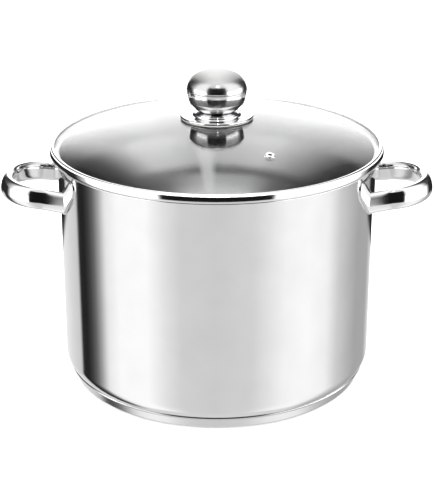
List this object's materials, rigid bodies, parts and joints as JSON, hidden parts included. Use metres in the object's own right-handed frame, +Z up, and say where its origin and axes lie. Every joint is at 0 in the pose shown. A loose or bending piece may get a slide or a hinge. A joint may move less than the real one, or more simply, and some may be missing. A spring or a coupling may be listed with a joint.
{
  "type": "water bath canner",
  "caption": "Deep stainless canning pot with loop side handles, a domed glass lid with a ball knob and steam vent, and a lift-out wire jar rack with folding bails.",
  "frame": {"origin": "centre of the face that the pot stands on", "axes": "+Z up; +X towards the right-hand side handle; the steam vent is towards -Y, the front"},
  "size_m": [0.4418, 0.338, 0.3205],
  "materials": {
    "polished_steel": "mirror-polished stainless steel",
    "base_steel": "satin stainless steel, turned",
    "knob_steel": "satin stainless steel",
    "fastener_steel": "bright zinc or stainless hardware",
    "rack_wire": "plated wire",
    "core_aluminium": "bare, sealed inside the base",
    "lid_glass": "clear tempered glass",
    "silicone": "translucent white silicone"
  },
  "bodies": {
    "pot": {"pot_body": "polished_steel", "base_core": "core_aluminium", "base_cap": "base_steel", "handle_plate_left": "polished_steel", "handle_plate_right": "polished_steel", "side_handle_left": "polished_steel", "side_handle_right": "polished_steel"},
    "jar_rack": {"rack_grid_rings": "rack_wire", "rack_grid_spokes": "rack_wire", "rack_feet": "rack_wire", "rack_divider_1": "rack_wire", "rack_divider_2": "rack_wire", "rack_divider_3": "rack_wire", "rack_divider_4": "rack_wire", "rack_divider_5": "rack_wire", "rack_divider_6": "rack_wire", "rack_center_ring": "rack_wire", "rack_top_ring": "rack_wire", "rack_hinge_bar_left": "rack_wire", "rack_hinge_bar_right": "rack_wire"},
    "lid": {"lid_glass": "lid_glass", "lid_rim": "polished_steel", "lid_rim_liner": "silicone", "vent_eyelet": "polished_steel", "vent_washer": "fastener_steel", "knob_cap": "knob_steel", "knob_cup": "polished_steel", "knob_flange": "polished_steel", "knob_insert": "fastener_steel", "knob_screw": "fastener_steel", "knob_lock_washer": "fastener_steel", "knob_washer": "fastener_steel", "knob_bush": "silicone", "knob_seal_ring": "silicone"},
    "left_bail": {"rack_bail_left": "rack_wire"},
    "right_bail": {"rack_bail_right": "rack_wire"}
  },
  "joints": [
    {"name": "rack_lift", "type": "slide", "parent": "pot", "child": "jar_rack", "axis": [0, 0, 1], "range_m": [0, 0.26]},
    {"name": "lid_lift", "type": "slide", "parent": "jar_rack", "child": "lid", "axis": [0, 0, 1], "range_m": [0, 0.15]},
    {"name": "left_bail_fold", "type": "hinge", "parent": "jar_rack", "child": "left_bail", "pos_m": [-0.151, 0, 0.0766], "axis": [0, -1, 0], "range_deg": [0, 90]},
    {"name": "right_bail_fold", "type": "hinge", "parent": "jar_rack", "child": "right_bail", "pos_m": [0.151, 0, 0.0766], "axis": [0, 1, 0], "range_deg": [0, 90]}
  ]
}
